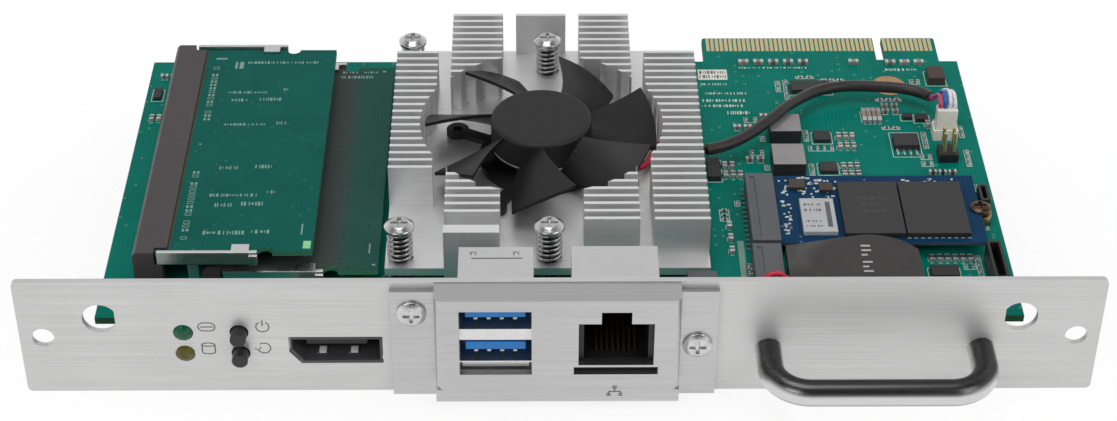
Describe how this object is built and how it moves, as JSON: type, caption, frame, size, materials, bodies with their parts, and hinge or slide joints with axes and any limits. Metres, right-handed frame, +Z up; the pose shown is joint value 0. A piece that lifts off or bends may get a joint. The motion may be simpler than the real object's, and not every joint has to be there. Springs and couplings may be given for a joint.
{
  "type": "slot-in pc module",
  "caption": "Single-board computer module that slides into a host slot: faceplate with ports and a pull handle, finned cooler with a fan, memory, drive and battery on one board.",
  "frame": {"origin": "midway between the two mounting holes, on the front face of the faceplate", "axes": "+X to the right along the faceplate, +Y to the back along the board's depth, +Z up"},
  "size_m": [0.2, 0.1191, 0.026],
  "materials": {
    "plate_steel": "fine brushed satin",
    "bracket_steel": "satin",
    "screw_steel": "bright plated",
    "angle_steel": "zinc plated, dull",
    "handle_metal": "polished",
    "green_lens": "clear tinted lens",
    "amber_lens": "clear tinted lens",
    "board_green": "varnished laminate",
    "memory_green": "varnished laminate",
    "drive_blue": "varnished laminate",
    "black_plastic": "moulded, matt",
    "dark_socket": "moulded, satin",
    "blue_plastic": "moulded, satin",
    "port_steel": "bright nickel",
    "port_grey": "nickel, satin",
    "gold": "gold plated",
    "chip_black": "moulded epoxy",
    "processor_slot": "laminate with a bare die",
    "sink_aluminium": "bare, extruded and milled",
    "spring_steel": "plated wire",
    "back_steel": "stamped, satin",
    "fan_plastic": "moulded, satin",
    "coil_copper": "enamelled windings",
    "bearing_brass": "sintered",
    "sleeve_black": "shrink sleeve",
    "wire_skin": "coloured insulation",
    "plug_white": "moulded",
    "standoff_brass": "turned",
    "screw_copper": "plated",
    "battery_sleeve": "shrink sleeve",
    "pad_grey": "foam",
    "inductor_grey": "pressed powder",
    "capacitor_tan": "ceramic with tinned ends"
  },
  "bodies": {
    "module": {"faceplate": "plate_steel", "port_bracket": "bracket_steel", "bracket_screws": "screw_steel", "clinch_nuts": "angle_steel", "angle_brackets": "angle_steel", "board_screws": "screw_steel", "handle": "handle_metal", "handle_screws": "screw_steel", "power_led": "green_lens", "disk_led": "amber_lens", "indicator_board": "board_green", "switch_bodies": "black_plastic", "display_port_shell": "port_grey", "display_port_insert": "black_plastic", "usb_shell": "port_steel", "usb_inserts": "blue_plastic", "usb_contacts": "gold", "network_jack_shell": "port_steel", "network_jack_insert": "black_plastic", "network_contacts": "gold", "main_board": "board_green", "edge_contacts": "gold", "upper_memory_socket": "dark_socket", "lower_memory_socket": "dark_socket", "upper_memory_board": "memory_green", "lower_memory_board": "memory_green", "memory_chips": "chip_black", "latch_posts": "port_steel", "processor": "processor_slot", "heatsink": "sink_aluminium", "cooler_screws": "screw_steel", "cooler_springs": "spring_steel", "back_plate": "back_steel", "fan_base": "fan_plastic", "fan_stator": "coil_copper", "fan_bearing": "bearing_brass", "fan_lead": "sleeve_black", "fan_wires": "wire_skin", "fan_plug": "plug_white", "fan_header": "plug_white", "drive_socket": "dark_socket", "card_socket": "dark_socket", "drive_board": "drive_blue", "drive_chips": "chip_black", "drive_standoff": "standoff_brass", "drive_screw": "screw_copper", "battery": "battery_sleeve", "battery_pad": "pad_grey", "battery_wires": "wire_skin", "board_connectors": "black_plastic", "board_chips": "chip_black", "inductors": "inductor_grey", "capacitors": "capacitor_tan"},
    "fan": {"fan_rotor": "fan_plastic"},
    "power_key": {"power_button": "black_plastic"},
    "reset_key": {"reset_button": "black_plastic"},
    "latch_a": {"upper_latch_front": "port_steel"},
    "latch_b": {"upper_latch_back": "port_steel"},
    "latch_c": {"lower_latch_front": "port_steel"},
    "latch_d": {"lower_latch_back": "port_steel"}
  },
  "joints": [
    {"name": "fan_spin", "type": "hinge", "parent": "module", "child": "fan", "pos_m": [-0.0034, 0.05315, 0.0127], "axis": [0, 0, 1], "continuous": true},
    {"name": "power_press", "type": "slide", "parent": "module", "child": "power_key", "axis": [0, 1, 0], "range_m": [0, 0.0004], "stiffness_N_per_m": 800},
    {"name": "reset_press", "type": "slide", "parent": "module", "child": "reset_key", "axis": [0, 1, 0], "range_m": [0, 0.0004], "stiffness_N_per_m": 800},
    {"name": "upper_front_latch", "type": "hinge", "parent": "module", "child": "latch_a", "pos_m": [-0.0758, 0.0158, 0.006], "axis": [0, 0, -1], "range_deg": [0, 7], "stiffness_Nm_per_rad": 0.02},
    {"name": "upper_back_latch", "type": "hinge", "parent": "module", "child": "latch_b", "pos_m": [-0.0758, 0.087, 0.006], "axis": [0, 0, 1], "range_deg": [0, 7], "stiffness_Nm_per_rad": 0.02},
    {"name": "lower_front_latch", "type": "hinge", "parent": "module", "child": "latch_c", "pos_m": [-0.0636, 0.0158, 0.0014], "axis": [0, 0, -1], "range_deg": [0, 7], "stiffness_Nm_per_rad": 0.02},
    {"name": "lower_back_latch", "type": "hinge", "parent": "module", "child": "latch_d", "pos_m": [-0.0636, 0.087, 0.0014], "axis": [0, 0, 1], "range_deg": [0, 7], "stiffness_Nm_per_rad": 0.02}
  ]
}
